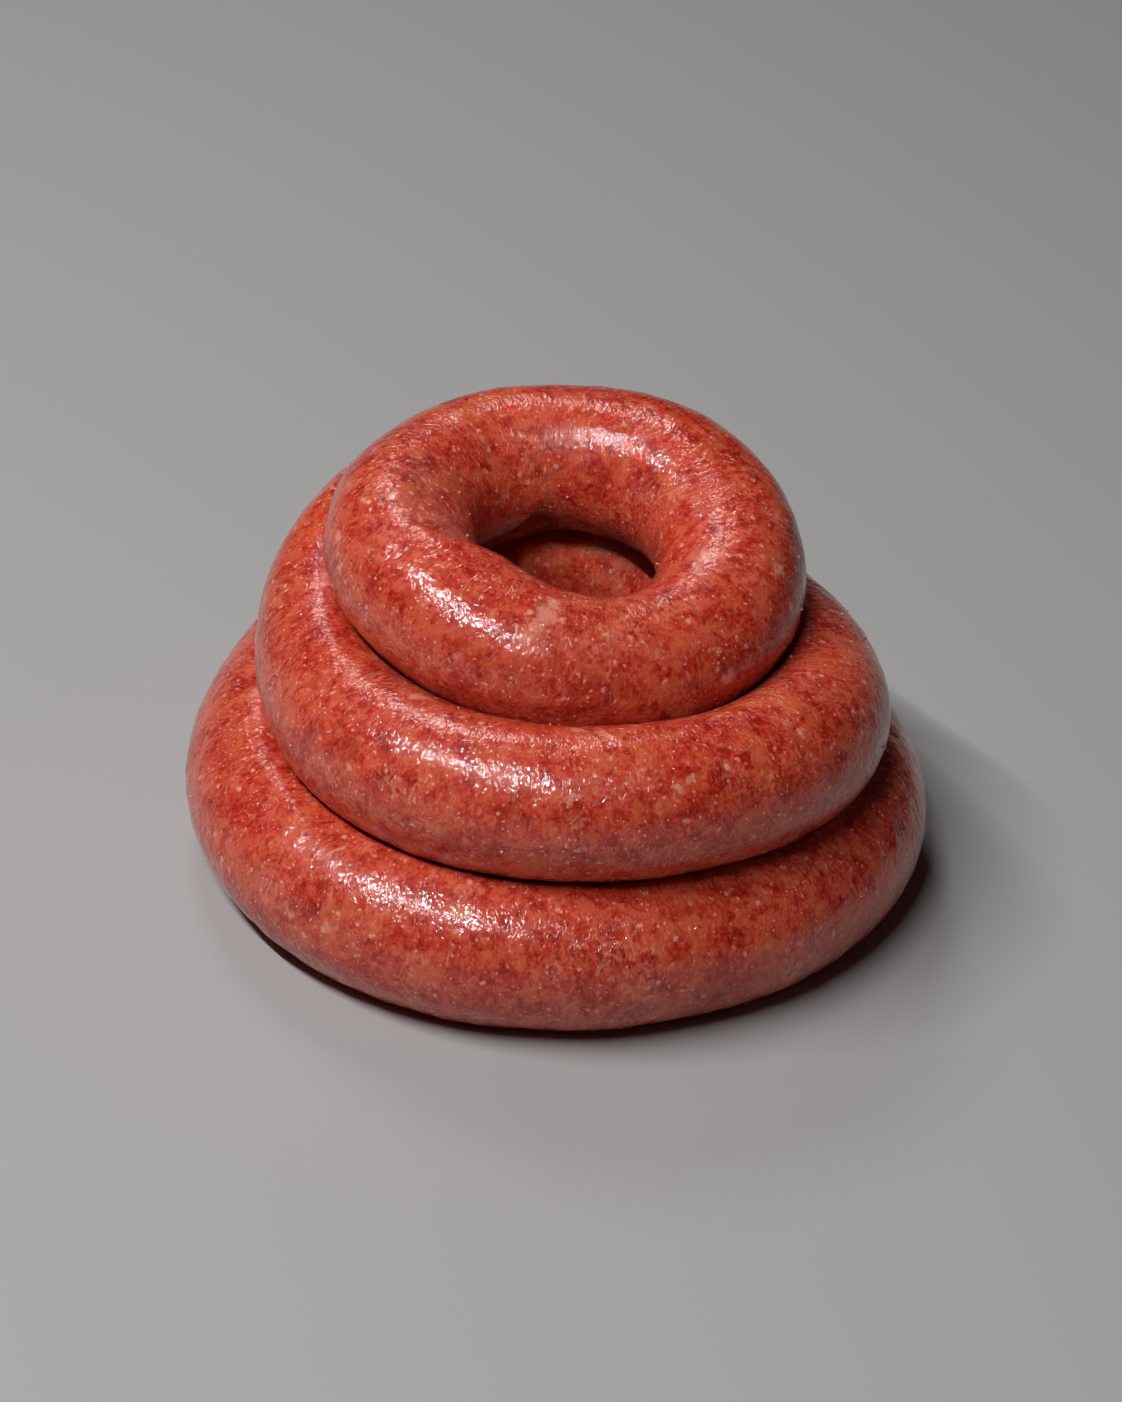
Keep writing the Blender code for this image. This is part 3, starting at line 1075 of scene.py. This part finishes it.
# What the camera and the lights look at, the camera's small shift, and the back wall inside the well.
AIM = Vector((-0.001, 0.0066, 0.040))
AIM_SHIFT = -0.0147
WELL = Vector((0.0, 0.033, 0.056))
SENSOR_WIDTH = 36
LIGHT_DISTANCE = 1.2
# The power of the two small lights as shares of the key light's, and the narrow beam of the one in the well.
BACK_SHARE = 0.17
WELL_SHARE = 0.00009
WELL_BEAM = radians(3)


def lay_floor(stage):
    """A plain floor that reaches well past the picture."""
    bm = bmesh.new()
    bmesh.ops.create_grid(bm, x_segments=1, y_segments=1, size=FLOOR_HALF)
    mesh = bpy.data.meshes.new("floor")
    bm.to_mesh(mesh)
    bm.free()
    floor = bpy.data.objects.new("floor", mesh)
    bpy.context.scene.collection.objects.link(floor)
    mesh.materials.append(floor_material(stage))


def hang_light(name, azimuth, elevation, width, height, power, target=AIM):
    """An area light that looks at the target from this direction."""
    light = bpy.data.lights.new(name, "AREA")
    light.shape = "RECTANGLE"
    light.size = width
    light.size_y = height
    light.energy = power
    holder = bpy.data.objects.new(name, light)
    azimuth, elevation = radians(azimuth), radians(elevation)
    towards = Vector((cos(azimuth) * cos(elevation), sin(azimuth) * cos(elevation), sin(elevation)))
    holder.location = target + LIGHT_DISTANCE * towards
    holder.rotation_euler = towards.to_track_quat("Z", "Y").to_euler()
    bpy.context.scene.collection.objects.link(holder)
    return light


def hang_lights(stage):
    key = stage.key_power
    hang_light("key light", azimuth=-139, elevation=58, width=1.10, height=0.020, power=key)
    hang_light("back light", azimuth=112, elevation=48, width=0.30, height=0.30, power=BACK_SHARE * key)
    well = hang_light(
        "well light", azimuth=-95, elevation=48, width=0.05, height=0.04,
        power=WELL_SHARE * key, target=WELL,
    )
    well.spread = WELL_BEAM
    world = bpy.data.worlds.new("studio")
    world.use_nodes = True
    world.node_tree.nodes["Background"].inputs["Color"].default_value = (1, 1, 1, 1)
    world.node_tree.nodes["Background"].inputs["Strength"].default_value = stage.sky
    bpy.context.scene.world = world


def set_camera(stage):
    """The camera at the front, a little rolled."""
    camera = bpy.data.cameras.new("camera")
    camera.lens = stage.lens
    camera.sensor_width = SENSOR_WIDTH
    camera.shift_y = AIM_SHIFT
    holder = bpy.data.objects.new("camera", camera)
    back = Vector((0, -cos(stage.elevation), sin(stage.elevation)))
    holder.location = AIM + stage.distance * back
    look = back.to_track_quat("Z", "Y") @ Quaternion((0, 0, 1), stage.roll)
    holder.rotation_euler = look.to_euler()
    bpy.context.scene.collection.objects.link(holder)
    bpy.context.scene.camera = holder


class SAUSAGE_PT_panel(Panel):
    """Steps and settings of the coiled sausage"""

    bl_idname = "SAUSAGE_PT_panel"
    bl_label = "Coiled Sausage"
    bl_space_type = "VIEW_3D"
    bl_region_type = "UI"
    bl_category = "Sausage"

    def draw(self, context):
        for step in STEPS:
            self.layout.operator(step.bl_idname)
        for name in ("sausage_form", "sausage_look", "sausage_stage"):
            settings = getattr(context.scene, name)
            for key in settings.__annotations__:
                self.layout.prop(settings, key)


STEPS = (SAUSAGE_OT_rope, SAUSAGE_OT_crumbs, SAUSAGE_OT_stage)
CLASSES = (RopeForm, MeatLook, StageLook, *STEPS, SAUSAGE_PT_panel)


def register():
    for each in CLASSES:
        bpy.utils.register_class(each)
    bpy.types.Scene.sausage_form = PointerProperty(type=RopeForm)
    bpy.types.Scene.sausage_look = PointerProperty(type=MeatLook)
    bpy.types.Scene.sausage_stage = PointerProperty(type=StageLook)


def unregister():
    del bpy.types.Scene.sausage_stage
    del bpy.types.Scene.sausage_look
    del bpy.types.Scene.sausage_form
    for each in reversed(CLASSES):
        bpy.utils.unregister_class(each)


def main():
    register()
    bpy.ops.sausage.rope()
    bpy.ops.sausage.crumbs()
    bpy.ops.sausage.stage()


if __name__ == "__main__":
    main()
